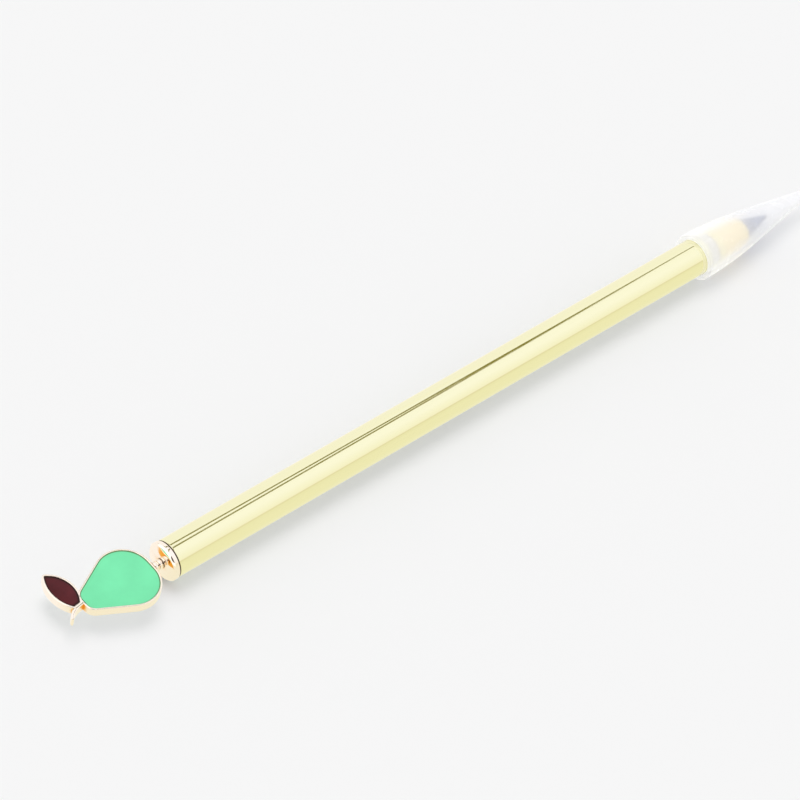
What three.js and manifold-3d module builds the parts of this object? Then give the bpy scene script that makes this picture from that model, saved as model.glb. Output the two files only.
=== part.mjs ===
// An everlasting pencil with an enamelled pear charm, its alloy nib, and a push-on cap over the nib.
// All sizes are in millimetres. The barrel's axis runs along X, the nib points to +X, the charm's
// enamel faces up, and X is 0 where the tail ferrule meets the barrel.

import * as THREE from "three";
import { mergeVertices } from "three/addons/utils/BufferGeometryUtils.js";
import Module from "manifold-3d";

const wasm = await Module();
wasm.setup();

// Barrel tube
const BARREL_RADIUS = 3.75;
const BARREL_LENGTH = 137.3;
const BARREL_WALL = 0.5;
const BARREL_TAIL_CHAMFER = 0.12;
const LIP_LENGTH = 1.2; // the stretch at the front where the tube rolls in
const LIP_DROP = 0.3;

// Clearances between pieces
const PRESS_CLEARANCE = 0.02; // pressed or glued pieces, on the radius
const FACE_CLEARANCE = 0.02; // shoulders and faces that sit on each other
const THREAD_CLEARANCE = 0.05; // stud in its bush and through its ring, on the radius
const GRIP_CLEARANCE = 0.05; // cap on the barrel, on the radius

// Tail ferrule
const FERRULE_STANDOUT = 0.1; // how far the flange stands out past the tube
const FERRULE_THICKNESS = 1.12;
const FERRULE_BEVEL = 0.35;
const FERRULE_BACK_BEVEL = 0.12;
const FERRULE_GAP = 0.26; // width of the groove between the flange and the tube
const FERRULE_GAP_DEPTH = 0.35; // of that groove, below the flange
const FERRULE_SPIGOT_LENGTH = 6;
const FERRULE_SPIGOT_CHAMFER = 0.4;

// Charm post
const POST_LENGTH = 2.05; // the stretch that shows between the charm and the ferrule
const POST_RADIUS = 1.02;
const POST_WAIST_RADIUS = 0.78;
const POST_SHANK_RADIUS = 0.8;
const POST_SHANK_LENGTH = 3.5;
const POST_PIN_RADIUS = 0.4;
const POST_PIN_END_WALL = 0.1; // rim metal left past the pin

// Charm casting
const CHARM_THICKNESS = 1.9;
const CHARM_EDGE = 0.16; // rounding of the casting's outer edges
const RIM_WIDTH = 0.38;
const RIM_CHAMFER = 0.1; // the broken edge round the inside of each rim
const TRAY_DEPTH = 0.7;
const PEAR_SIDE_SHIFT = 0.38; // the pear sits a little towards its leaf, off the barrel's axis
const PEAR_BELLY_RADIUS = 5.1;
const PEAR_BELLY_SPREAD = 1.03; // half the distance between the belly's two arc centres
const PEAR_NECK_RADIUS = 1.94;
const PEAR_NECK_SPREAD = 0.6;
const PEAR_RISE = 7.78; // from the belly's centres to the neck's centres
const LEAF_LENGTH = 8.15;
const LEAF_BASE_WIDTH = 1.6;
const LEAF_OUTER_BULGE = 1.7; // half width on the side away from the pear
const LEAF_INNER_BULGE = 2.25; // half width on the side next to the pear
const LEAF_CORNER_RADIUS = 0.2;
const LEAF_LEAN = THREE.MathUtils.degToRad(7.2);
const LEAF_BASE_RISE = 0.36; // how far the leaf's base lies from the pear's own axis
const LEAF_TO_PEAR = 0.65; // metal between the leaf's base and the pear's neck
const STEM_ROOT_WIDTH = 1.0;
const STEM_END_WIDTH = 0.57;
const STEM_ROOT_SIDE = 0.34; // its root lies off the pear's own axis, towards the leaf
const STEM_REACH = 3.5; // how far the stem stands out past the rim of the pear's neck
const STEM_DROP = 1.95; // how far it bends sideways, away from the leaf
const STEM_BEND_REACH = 2.52; // the corner that its curve is drawn towards
const STEM_BEND_DROP = 0.27;
const STEM_BURY = 0.6; // the stretch of its root inside the pear's rim and floor

// Enamel
const ENAMEL_BELOW_RIM = 0.2;
const ENAMEL_CLEARANCE = 0.02;
const ENAMEL_EDGE = 0.08;

// Front bush
const BUSH_FLANGE_RADIUS = 3.4;
const BUSH_FLANGE_LENGTH = 2.2;
const BUSH_FLANGE_CHAMFER = 0.2;
const BUSH_LENGTH = 8; // inside the barrel
const BUSH_TAIL_CHAMFER = 0.3;
const BUSH_BORE_RADIUS = 2.5;

// Collar ring
const RING_RADIUS = 3.66;
const RING_LENGTH = 1.45;
const RING_CHAMFER = 0.15;
const RING_GROOVE_WIDTH = 0.3;
const RING_GROOVE_DEPTH = 0.18;

// Nib holder
const HOLDER_BACK_RADIUS = 3.5;
const HOLDER_FRONT_RADIUS = 2.95;
const HOLDER_TAPER_LENGTH = 6.6;
const HOLDER_DOME_LENGTH = 1.3;
const HOLDER_BACK_CHAMFER = 0.15;
const STUD_PITCH = 0.8;
const STUD_TURNS = 8; // turns in the bush before the stud lets go
const STUD_CHAMFER = 0.4;

// Nib
const NIB_BASE_RADIUS = 2.44;
const NIB_LENGTH = 7.85;
const NIB_POINT_RADIUS = 0.3;
const NIB_SHANK_RADIUS = 1.5;
const NIB_SHANK_LENGTH = 5;
const NIB_SHANK_END_GAP = 0.1;

// Cap
const CAP_OVERLAP = 2; // how far the cap reaches over the barrel
const CAP_MOUTH_WALL = 1.15; // of the band that grips the barrel
const CAP_MOUTH_ROUND = 0.25;
const CAP_BOW_LENGTH = 14.7; // from the mouth to where the side runs straight
const CAP_TAPER = THREE.MathUtils.degToRad(8.9);
const CAP_TIP_RADIUS = 0.85;
const CAP_WALL = 0.9;
const CAP_BORE_END_RADIUS = 0.35;
const CAP_GRIP_LENGTH = 1.5; // the narrower band in the mouth that holds on to the barrel
const CAP_GRIP_STEP = 0.25; // the slope from that band out to the wider bore behind it

// Roundness of the facets
const TURNED_FACETS = 64;
const POST_FACETS = 40;
const LIP_STEPS = 4;
const BEAD_STEPS = 6;
const DOME_STEPS = 5;
const CAP_BOW_STEPS = 6;
const CAP_TIP_STEPS = 5;
const NIB_POINT_STEPS = 3;
const DEGREES_PER_ARC_STEP = 9;
const STEM_STEPS = 8;
const SAME_POINT = 0.01; // outline points nearer to each other than this are one point

// A solid turned about the X axis. Each profile point is [distance along X, radius], and the profile
// runs forward along the outside. It starts and ends on the axis, or it closes on itself.
function turned(profile, facets = TURNED_FACETS) {
  const points = profile.map(([x, radius]) => new THREE.Vector2(radius, x));
  return new THREE.LatheGeometry(points, facets).rotateZ(-Math.PI / 2);
}

// A ring turned about the X axis: the same profile, closed by its first point.
function turnedRing(profile, facets = TURNED_FACETS) {
  return turned([...profile, profile[0]], facets);
}

// A flat plate with the outline's points, between two heights, its edges rounded by edge, or chamfered
// where there is one step.
function plate(outline, bottom, top, edge, steps = 2) {
  const corners = outline.filter((point, i) => point.distanceTo(outline.at(i - 1)) > SAME_POINT);
  const geometry = new THREE.ExtrudeGeometry(new THREE.Shape(corners), {
    depth: top - bottom - 2 * edge,
    bevelEnabled: edge > 0,
    bevelThickness: edge,
    bevelSize: edge,
    bevelOffset: -edge,
    bevelSegments: steps,
  });
  return geometry.translate(0, 0, bottom + edge);
}

// A closed geometry as a solid that can be joined and cut.
function solidOf(geometry) {
  const bare = new THREE.BufferGeometry();
  bare.setAttribute("position", geometry.getAttribute("position"));
  bare.setIndex(geometry.getIndex());
  const merged = mergeVertices(bare, 1e-4);
  const mesh = new wasm.Mesh({
    numProp: 3,
    vertProperties: merged.getAttribute("position").array,
    triVerts: new Uint32Array(merged.getIndex().array),
  });
  return new wasm.Manifold(mesh);
}

// A joined and cut solid as a geometry again.
function geometryOf(solid) {
  const mesh = solid.getMesh();
  const geometry = new THREE.BufferGeometry();
  geometry.setAttribute("position", new THREE.BufferAttribute(mesh.vertProperties, 3));
  geometry.setIndex(new THREE.BufferAttribute(mesh.triVerts, 1));
  geometry.computeVertexNormals();
  return geometry;
}

// An arc that runs anticlockwise about (x, y), less than one turn. A radius of 0 makes it a corner.
function arc(x, y, radius, from, to) {
  const turn = THREE.MathUtils.euclideanModulo(to - from, 2 * Math.PI);
  return { x, y, radius, from, to: from + turn };
}

// The arc from start to end through middle, all three anticlockwise.
function arcThrough(start, middle, end) {
  const a = middle.clone().sub(start);
  const b = end.clone().sub(start);
  const cross = 2 * a.cross(b);
  const centre = new THREE.Vector2(
    (b.y * a.lengthSq() - a.y * b.lengthSq()) / cross,
    (a.x * b.lengthSq() - b.x * a.lengthSq()) / cross,
  ).add(start);
  const from = start.clone().sub(centre).angle();
  const to = end.clone().sub(centre).angle();
  return arc(centre.x, centre.y, start.distanceTo(centre), from, to);
}

// The points of a convex outline of arcs, with all of it grown outwards by the same distance.
function outlineOf(arcs, grow) {
  const stepAngle = THREE.MathUtils.degToRad(DEGREES_PER_ARC_STEP);
  return arcs.flatMap(({ x, y, radius, from, to }) => {
    const reach = radius + grow;
    const steps = reach > 0 ? Math.max(1, Math.ceil((to - from) / stepAngle)) : 0;
    return Array.from({ length: steps + 1 }, (_, i) => {
      const angle = from + ((to - from) * i) / Math.max(1, steps);
      return new THREE.Vector2(x + reach * Math.cos(angle), y + reach * Math.sin(angle));
    });
  });
}

// Places along the axis that several pieces share.
const ferruleFace = -FACE_CLEARANCE - FERRULE_GAP - FERRULE_THICKNESS;
const charmEnd = ferruleFace - POST_LENGTH;
const bushFront = BARREL_LENGTH + FACE_CLEARANCE + BUSH_FLANGE_LENGTH;
const ringBack = bushFront + FACE_CLEARANCE;
const holderBack = ringBack + RING_LENGTH + FACE_CLEARANCE;
const holderFront = holderBack + HOLDER_TAPER_LENGTH + HOLDER_DOME_LENGTH;
const nibBack = holderFront + FACE_CLEARANCE;
const capMouth = BARREL_LENGTH - CAP_OVERLAP;
const capMouthRadius = BARREL_RADIUS + GRIP_CLEARANCE + CAP_MOUTH_WALL;

// The barrel is a straight tube, chamfered at the tail and rolled in to a smooth lip at the front.
function barrelTube() {
  const bore = BARREL_RADIUS - BARREL_WALL;
  const lip = Array.from({ length: LIP_STEPS + 1 }, (_, i) => {
    const t = ((Math.PI / 2) * i) / LIP_STEPS;
    const x = BARREL_LENGTH - LIP_LENGTH * (1 - Math.sin(t));
    return [x, BARREL_RADIUS - LIP_DROP * (1 - Math.cos(t))];
  });
  return turnedRing([
    [0, bore],
    [0, BARREL_RADIUS - BARREL_TAIL_CHAMFER],
    [BARREL_TAIL_CHAMFER, BARREL_RADIUS],
    ...lip,
    [BARREL_LENGTH, bore],
  ]);
}

// The ferrule closes the tail. Its bevelled flange stands just proud of the tube, with a narrow groove
// between the two. Its spigot is pressed into the tube, and the post's shank sits in a blind bore.
function tailFerrule() {
  const flange = BARREL_RADIUS + FERRULE_STANDOUT;
  const neck = flange - FERRULE_GAP_DEPTH;
  const spigot = BARREL_RADIUS - BARREL_WALL - PRESS_CLEARANCE;
  const bore = POST_SHANK_RADIUS + PRESS_CLEARANCE;
  const boreEnd = ferruleFace + POST_SHANK_LENGTH + FACE_CLEARANCE;
  const flangeEnd = ferruleFace + FERRULE_THICKNESS;
  const shoulder = flangeEnd + FERRULE_GAP;
  const spigotEnd = shoulder + FERRULE_SPIGOT_LENGTH;
  return turned([
    [boreEnd, 0],
    [boreEnd, bore],
    [ferruleFace, bore],
    [ferruleFace, flange - FERRULE_BEVEL],
    [ferruleFace + FERRULE_BEVEL, flange],
    [flangeEnd - FERRULE_BACK_BEVEL, flange],
    [flangeEnd, flange - FERRULE_BACK_BEVEL],
    [flangeEnd, neck],
    [shoulder, neck],
    [shoulder, spigot],
    [spigotEnd - FERRULE_SPIGOT_CHAMFER, spigot],
    [spigotEnd, spigot - FERRULE_SPIGOT_CHAMFER],
    [spigotEnd, 0],
  ]);
}

// The post is turned from rod: a short pin for the charm, two beads that show, and a shank for the
// ferrule.
function charmPost() {
  const pinEnd = charmEnd - (RIM_WIDTH - POST_PIN_END_WALL);
  const beadsBack = charmEnd + FACE_CLEARANCE;
  const beadsFront = ferruleFace - FACE_CLEARANCE;
  const beadLength = (beadsFront - beadsBack) / 2;
  const beads = [0, 1].flatMap((bead) =>
    Array.from({ length: BEAD_STEPS + 1 }, (_, i) => {
      const t = (Math.PI * i) / BEAD_STEPS;
      const x = beadsBack + beadLength * (bead + (1 - Math.cos(t)) / 2);
      return [x, POST_WAIST_RADIUS + (POST_RADIUS - POST_WAIST_RADIUS) * Math.sin(t)];
    }).slice(bead),
  );
  const shankStart = beadsFront;
  return turned(
    [
      [pinEnd, 0],
      [pinEnd, POST_PIN_RADIUS],
      [beadsBack, POST_PIN_RADIUS],
      ...beads,
      [shankStart, POST_SHANK_RADIUS],
      [ferruleFace + POST_SHANK_LENGTH, POST_SHANK_RADIUS],
      [ferruleFace + POST_SHANK_LENGTH, 0],
    ],
    POST_FACETS,
  );
}

// The pear's enamel is bounded by two large arcs at the belly and two small ones at the neck, with the
// straight lines that touch them.
const pearBelly = charmEnd - RIM_WIDTH - PEAR_BELLY_RADIUS;
const pearNeck = pearBelly - PEAR_RISE;
const pearNeckEnd = pearNeck - PEAR_NECK_RADIUS;

function pearArcs() {
  const narrowing = PEAR_BELLY_SPREAD - PEAR_NECK_SPREAD;
  const flankSlope = Math.atan2(narrowing, PEAR_RISE);
  const flankLength = Math.hypot(narrowing, PEAR_RISE);
  const flankTurn = Math.acos((PEAR_BELLY_RADIUS - PEAR_NECK_RADIUS) / flankLength);
  const flank = Math.PI + flankSlope - flankTurn; // the direction that the leaf side's flank faces
  const leafSide = PEAR_SIDE_SHIFT;
  return [
    arc(pearBelly, leafSide - PEAR_BELLY_SPREAD, PEAR_BELLY_RADIUS, -flank, 0),
    arc(pearBelly, leafSide + PEAR_BELLY_SPREAD, PEAR_BELLY_RADIUS, 0, flank),
    arc(pearNeck, leafSide + PEAR_NECK_SPREAD, PEAR_NECK_RADIUS, flank, Math.PI),
    arc(pearNeck, leafSide - PEAR_NECK_SPREAD, PEAR_NECK_RADIUS, Math.PI, -flank),
  ];
}

// The leaf's enamel has two bowed sides that meet in a rounded point, and a blunt base beside the stem.
// Its arcs are drawn one corner radius further in, and then grown by that radius.
function leafArcs() {
  const inset = LEAF_CORNER_RADIUS;
  const base = new THREE.Vector2(
    pearNeckEnd - LEAF_TO_PEAR - LEAF_BASE_WIDTH / 2,
    PEAR_SIDE_SHIFT + LEAF_BASE_RISE,
  );
  const along = new THREE.Vector2(-Math.sin(LEAF_LEAN), Math.cos(LEAF_LEAN));
  const across = new THREE.Vector2(Math.cos(LEAF_LEAN), Math.sin(LEAF_LEAN));
  const at = (length, side) =>
    base.clone().addScaledVector(along, length).addScaledVector(across, side);
  const innerCorner = at(inset, LEAF_BASE_WIDTH / 2 - inset);
  const outerCorner = at(inset, inset - LEAF_BASE_WIDTH / 2);
  const point = at(LEAF_LENGTH - inset, 0);
  const inner = arcThrough(innerCorner, at(LEAF_LENGTH / 2, LEAF_INNER_BULGE - inset), point);
  const outer = arcThrough(point, at(LEAF_LENGTH / 2, inset - LEAF_OUTER_BULGE), outerCorner);
  const baseFaces = LEAF_LEAN - Math.PI / 2;
  const drawn = [
    inner,
    arc(point.x, point.y, 0, inner.to, outer.from),
    outer,
    arc(outerCorner.x, outerCorner.y, 0, outer.to, baseFaces),
    arc(innerCorner.x, innerCorner.y, 0, baseFaces, inner.from),
  ];
  return drawn.map((part) => ({ ...part, radius: part.radius + inset }));
}

// The stem is a strip that narrows from the pear's neck and bends away from the leaf, round at its end.
function stemOutline() {
  const rimEnd = pearNeckEnd - RIM_WIDTH;
  const root = new THREE.Vector2(pearNeckEnd + STEM_BURY, PEAR_SIDE_SHIFT + STEM_ROOT_SIDE);
  const end = new THREE.Vector2(rimEnd - STEM_REACH, root.y - STEM_DROP);
  const bend = new THREE.Vector2(rimEnd - STEM_BEND_REACH, root.y - STEM_BEND_DROP);
  const line = new THREE.QuadraticBezierCurve(root, bend, end);
  const side = (t, sign) => {
    const half = THREE.MathUtils.lerp(STEM_ROOT_WIDTH, STEM_END_WIDTH, t) / 2;
    const tangent = line.getTangent(t);
    const normal = new THREE.Vector2(-tangent.y, tangent.x);
    return line.getPoint(t).addScaledVector(normal, sign * half);
  };
  const leafEdge = Array.from({ length: STEM_STEPS + 1 }, (_, i) => side(i / STEM_STEPS, -1));
  const freeEdge = Array.from({ length: STEM_STEPS + 1 }, (_, i) => side(1 - i / STEM_STEPS, 1));
  const away = line.getTangent(1).angle();
  const tip = outlineOf([arc(end.x, end.y, STEM_END_WIDTH / 2, away - 1.4, away + 1.4)], 0);
  return [...leafEdge, ...tip, ...freeEdge];
}

// The casting is flat on its back. Its trays are cut from above and leave a thin rim all round, with a
// small chamfer on its inside.
function charmCasting() {
  const top = CHARM_THICKNESS / 2;
  const bottom = -top;
  const body = (outline) => solidOf(plate(outline, bottom, top, CHARM_EDGE));
  const tray = (arcs) => {
    const wall = outlineOf(arcs, ENAMEL_CLEARANCE);
    const mouth = outlineOf(arcs, ENAMEL_CLEARANCE + RIM_CHAMFER);
    const cut = solidOf(plate(wall, top - TRAY_DEPTH, top + TRAY_DEPTH, 0));
    return cut.add(solidOf(plate(mouth, top - RIM_CHAMFER, top + TRAY_DEPTH, RIM_CHAMFER, 1)));
  };
  const pinHoleEnd = charmEnd - (RIM_WIDTH - POST_PIN_END_WALL) - FACE_CLEARANCE;
  const pinHole = turned(
    [
      [pinHoleEnd, 0],
      [pinHoleEnd, POST_PIN_RADIUS + PRESS_CLEARANCE],
      [charmEnd + RIM_WIDTH, POST_PIN_RADIUS + PRESS_CLEARANCE],
      [charmEnd + RIM_WIDTH, 0],
    ],
    POST_FACETS,
  );
  const cast = body(outlineOf(pearArcs(), RIM_WIDTH))
    .add(body(outlineOf(leafArcs(), RIM_WIDTH)))
    .add(body(stemOutline()))
    .subtract(tray(pearArcs()))
    .subtract(tray(leafArcs()))
    .subtract(solidOf(pinHole));
  return geometryOf(cast);
}

// The enamel fills a tray to just under its rim.
function enamel(arcs) {
  const top = CHARM_THICKNESS / 2 - ENAMEL_BELOW_RIM;
  const bottom = CHARM_THICKNESS / 2 - TRAY_DEPTH + FACE_CLEARANCE;
  return plate(outlineOf(arcs, 0), bottom, top, ENAMEL_EDGE);
}

// The bush is pressed into the tube's mouth as far as its flange, and the holder's stud screws into it.
function frontBush() {
  const spigot = BARREL_RADIUS - BARREL_WALL - PRESS_CLEARANCE;
  const shoulder = BARREL_LENGTH + FACE_CLEARANCE;
  const tail = shoulder - BUSH_LENGTH;
  return turnedRing([
    [tail, BUSH_BORE_RADIUS],
    [tail, spigot - BUSH_TAIL_CHAMFER],
    [tail + BUSH_TAIL_CHAMFER, spigot],
    [shoulder, spigot],
    [shoulder, BUSH_FLANGE_RADIUS],
    [bushFront - BUSH_FLANGE_CHAMFER, BUSH_FLANGE_RADIUS],
    [bushFront, BUSH_FLANGE_RADIUS - BUSH_FLANGE_CHAMFER],
    [bushFront, BUSH_BORE_RADIUS],
  ]);
}

// The collar ring is trapped between the bush and the holder, with one fine groove round its middle.
function collarRing() {
  const front = ringBack + RING_LENGTH;
  const middle = ringBack + RING_LENGTH / 2;
  return turnedRing([
    [ringBack, BUSH_BORE_RADIUS],
    [ringBack, RING_RADIUS - RING_CHAMFER],
    [ringBack + RING_CHAMFER, RING_RADIUS],
    [middle - RING_GROOVE_WIDTH / 2, RING_RADIUS],
    [middle, RING_RADIUS - RING_GROOVE_DEPTH],
    [middle + RING_GROOVE_WIDTH / 2, RING_RADIUS],
    [front - RING_CHAMFER, RING_RADIUS],
    [front, RING_RADIUS - RING_CHAMFER],
    [front, BUSH_BORE_RADIUS],
  ]);
}

// The holder's stud reaches back through the ring into the bush. Its sleeve tapers to a domed end, with
// a socket for the nib's shank.
function nibHolder() {
  const stud = BUSH_BORE_RADIUS - THREAD_CLEARANCE;
  const studEnd = bushFront - STUD_TURNS * STUD_PITCH;
  const socket = NIB_SHANK_RADIUS + PRESS_CLEARANCE;
  const socketEnd = nibBack - NIB_SHANK_LENGTH - NIB_SHANK_END_GAP;
  const domeBack = holderBack + HOLDER_TAPER_LENGTH;
  const domeDrop = HOLDER_FRONT_RADIUS - NIB_BASE_RADIUS;
  const dome = Array.from({ length: DOME_STEPS + 1 }, (_, i) => {
    const t = ((Math.PI / 2) * i) / DOME_STEPS;
    const radius = HOLDER_FRONT_RADIUS - domeDrop * (1 - Math.cos(t));
    return [domeBack + HOLDER_DOME_LENGTH * Math.sin(t), radius];
  });
  return turned([
    [studEnd, 0],
    [studEnd, stud - STUD_CHAMFER],
    [studEnd + STUD_CHAMFER, stud],
    [holderBack, stud],
    [holderBack, HOLDER_BACK_RADIUS - HOLDER_BACK_CHAMFER],
    [holderBack + HOLDER_BACK_CHAMFER, HOLDER_BACK_RADIUS],
    ...dome,
    [holderFront, socket],
    [socketEnd, socket],
    [socketEnd, 0],
  ]);
}

// The nib is a cone of soft alloy with a slightly rounded point, on a shank that is pressed home.
function nib() {
  const shankEnd = nibBack - NIB_SHANK_LENGTH;
  const point = nibBack + NIB_LENGTH;
  const slope = Math.atan2(NIB_BASE_RADIUS - NIB_POINT_RADIUS, NIB_LENGTH - NIB_POINT_RADIUS);
  const tip = Array.from({ length: NIB_POINT_STEPS + 1 }, (_, i) => {
    const t = slope + ((Math.PI / 2 - slope) * i) / NIB_POINT_STEPS;
    const x = point - NIB_POINT_RADIUS + NIB_POINT_RADIUS * Math.sin(t);
    return [x, i < NIB_POINT_STEPS ? NIB_POINT_RADIUS * Math.cos(t) : 0];
  });
  return turned([
    [shankEnd, 0],
    [shankEnd, NIB_SHANK_RADIUS],
    [nibBack, NIB_SHANK_RADIUS],
    [nibBack, NIB_BASE_RADIUS],
    ...tip,
  ]);
}

// The cap's side bows in from its mouth and then runs straight to a small round tip. The distance is
// measured from the mouth.
function capRadiusAt(distance) {
  const bowRadius = CAP_BOW_LENGTH / Math.sin(CAP_TAPER);
  const bowed = Math.min(distance, CAP_BOW_LENGTH);
  const bowDrop = bowRadius - Math.sqrt(bowRadius ** 2 - bowed ** 2);
  return capMouthRadius - bowDrop - Math.tan(CAP_TAPER) * (distance - bowed);
}

// The distance at which the cap's straight side has come down to a radius.
function capDistanceAt(radius) {
  return CAP_BOW_LENGTH + (capRadiusAt(CAP_BOW_LENGTH) - radius) / Math.tan(CAP_TAPER);
}

function cap() {
  const tipCentre = capDistanceAt(CAP_TIP_RADIUS / Math.cos(CAP_TAPER));
  const boreEnd = capDistanceAt(CAP_BORE_END_RADIUS + CAP_WALL);
  const grip = BARREL_RADIUS + GRIP_CLEARANCE;
  const bow = Array.from({ length: CAP_BOW_STEPS + 1 }, (_, i) => {
    const distance = THREE.MathUtils.lerp(CAP_MOUTH_ROUND, CAP_BOW_LENGTH, i / CAP_BOW_STEPS);
    return [capMouth + distance, capRadiusAt(distance)];
  });
  const bore = Array.from({ length: CAP_BOW_STEPS + 1 }, (_, i) => {
    const boreStart = CAP_GRIP_LENGTH + CAP_GRIP_STEP;
    const distance = THREE.MathUtils.lerp(CAP_BOW_LENGTH, boreStart, i / CAP_BOW_STEPS);
    return [capMouth + distance, capRadiusAt(distance) - CAP_WALL];
  });
  const tip = Array.from({ length: CAP_TIP_STEPS + 1 }, (_, i) => {
    const t = CAP_TAPER + ((Math.PI / 2 - CAP_TAPER) * i) / CAP_TIP_STEPS;
    const radius = i < CAP_TIP_STEPS ? CAP_TIP_RADIUS * Math.cos(t) : 0;
    return [capMouth + tipCentre + CAP_TIP_RADIUS * Math.sin(t), radius];
  });
  return turned([
    [capMouth + boreEnd, 0],
    [capMouth + boreEnd, CAP_BORE_END_RADIUS],
    ...bore,
    [capMouth + CAP_GRIP_LENGTH, grip],
    [capMouth + CAP_MOUTH_ROUND, grip],
    [capMouth, grip + CAP_MOUTH_ROUND],
    [capMouth, capMouthRadius - CAP_MOUTH_ROUND],
    ...bow,
    ...tip,
  ]);
}

// Finishes
const finish = (color, roughness, metalness) =>
  new THREE.MeshStandardMaterial({ color, roughness, metalness });
const paleGold = () => finish(0xf3efbe, 0.16, 1);
const roseGold = () => finish(0xfbe0c4, 0.12, 1);
const mintEnamel = () => finish(0x82eeb5, 0.25, 0);
const burgundyEnamel = () => finish(0x59262b, 0.2, 0);
const whitePlastic = () => finish(0xf4f2ea, 0.45, 0);
const nibAlloy = () => finish(0x74777c, 0.4, 0.9);

function translucentWhite() {
  const material = finish(0xf8f8f8, 0.35, 0);
  material.transparent = true;
  material.opacity = 0.55;
  return material;
}

const pieces = [
  ["barrel_tube", barrelTube(), paleGold()],
  ["tail_ferrule", tailFerrule(), roseGold()],
  ["charm_post", charmPost(), roseGold()],
  ["charm_casting", charmCasting(), roseGold()],
  ["pear_enamel", enamel(pearArcs()), mintEnamel()],
  ["leaf_enamel", enamel(leafArcs()), burgundyEnamel()],
  ["front_bush", frontBush(), whitePlastic()],
  ["collar_ring", collarRing(), paleGold()],
  ["nib_holder", nibHolder(), roseGold()],
  ["nib", nib(), nibAlloy()],
  ["cap", cap(), translucentWhite()],
];

const pencil = new THREE.Group();
for (const [name, geometry, material] of pieces) {
  const mesh = new THREE.Mesh(geometry, material);
  mesh.name = name;
  pencil.add(mesh);
}

// The origin is the middle of the pencil's bounding box, on the surface that it lies on.
const bounds = new THREE.Box3().setFromObject(pencil);
const middle = bounds.getCenter(new THREE.Vector3());
pencil.position.set(-middle.x, -middle.y, -bounds.min.z);

export default pencil;
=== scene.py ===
import math

import bmesh
import bpy
from mathutils import Matrix, Vector


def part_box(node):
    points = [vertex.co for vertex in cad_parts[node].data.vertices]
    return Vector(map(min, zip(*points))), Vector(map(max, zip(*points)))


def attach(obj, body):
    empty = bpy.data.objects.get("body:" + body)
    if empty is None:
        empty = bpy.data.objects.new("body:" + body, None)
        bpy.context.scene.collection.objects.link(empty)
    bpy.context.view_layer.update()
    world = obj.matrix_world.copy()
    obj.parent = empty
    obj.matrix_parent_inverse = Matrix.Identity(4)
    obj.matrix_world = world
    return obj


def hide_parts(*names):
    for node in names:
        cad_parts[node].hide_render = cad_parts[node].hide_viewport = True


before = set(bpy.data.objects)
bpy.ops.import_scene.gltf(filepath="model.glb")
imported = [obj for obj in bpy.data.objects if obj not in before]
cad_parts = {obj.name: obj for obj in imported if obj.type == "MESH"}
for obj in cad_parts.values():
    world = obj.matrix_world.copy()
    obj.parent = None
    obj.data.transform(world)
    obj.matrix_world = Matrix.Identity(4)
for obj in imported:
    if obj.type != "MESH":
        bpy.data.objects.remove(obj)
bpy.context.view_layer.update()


# The camera. The photograph was taken from about 0.6 m, above and behind the pencil's tail, with a long
# lens, and the camera was turned a little about its own axis.
CAMERA_PLACE = (-0.350555, -0.252781, 0.485085)
CAMERA_AZIMUTH = math.radians(37.188)
CAMERA_TILT = math.radians(48.58)
CAMERA_ROLL = math.radians(15.052)
CAMERA_LENS = 152.892

look = Vector(
    (
        math.cos(CAMERA_TILT) * math.cos(CAMERA_AZIMUTH),
        math.cos(CAMERA_TILT) * math.sin(CAMERA_AZIMUTH),
        -math.sin(CAMERA_TILT),
    )
)
level_right = Vector((math.sin(CAMERA_AZIMUTH), -math.cos(CAMERA_AZIMUTH), 0))
camera_right = Matrix.Rotation(-CAMERA_ROLL, 3, look) @ level_right
camera_up = camera_right.cross(look)
turn = Matrix((camera_right, camera_up, -look)).transposed().to_4x4()

camera = bpy.data.objects.new("camera", bpy.data.cameras.new("camera"))
bpy.context.scene.collection.objects.link(camera)
camera.matrix_world = Matrix.Translation(CAMERA_PLACE) @ turn
camera.data.lens = CAMERA_LENS
camera.data.sensor_width = 36
camera.data.clip_start = 0.01
camera.data.clip_end = 20
bpy.context.scene.camera = camera
bpy.context.scene.view_settings.view_transform = "Standard"


# The studio around it. Polished metal shows what stands round it: a white tent overhead with two dark
# seams in it, a brighter panel behind the tail, the dark camera, and white walls down to the floor.
# Plain surfaces only get its even light.
BACKGROUND_GREY = 0.913
AMBIENT_LIGHT = 0.81
AMBIENT_TINT = (0.99, 1.0, 1.01)
BOUNCED_TINT = (0.98, 1.03, 1.40)  # keeps what the gold throws on the floor neutral
PANEL_LIGHT = 1.35
PANEL_REACH = (-0.35, -0.65)  # how far along it starts, and where it has its full light
CAMERA_SHADE = (0.05, 0.03, 0.02)
CAMERA_PATCH = (0.93, 0.955)  # cosines of its outer and inner half angles
CAMERA_SINK = 0.35  # the dark of its stand draws its patch down


def new_tree(tree):
    """Empties a node tree. Gives two functions, of which one adds a node and one links two sockets."""
    tree.nodes.clear()

    def node(kind, **settings):
        made = tree.nodes.new("ShaderNode" + kind)
        for name, value in settings.items():
            setattr(made, name, value)
        return made

    def link(a, b):
        tree.links.new(a, b)

    return node, link


def fill(link, socket, value):
    """Gives a socket its number or colour, or links another socket to it."""
    if isinstance(value, bpy.types.NodeSocket):
        link(value, socket)
    else:
        socket.default_value = (*value, 1) if isinstance(value, tuple) else value


def calculator(node, link):
    """Gives one function that adds a Math node, with numbers or sockets as its inputs."""

    def calculate(operation, *inputs):
        made = node("Math", operation=operation)
        for socket, value in zip(made.inputs, inputs):
            fill(link, socket, value)
        return made.outputs[0]

    return calculate


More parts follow.
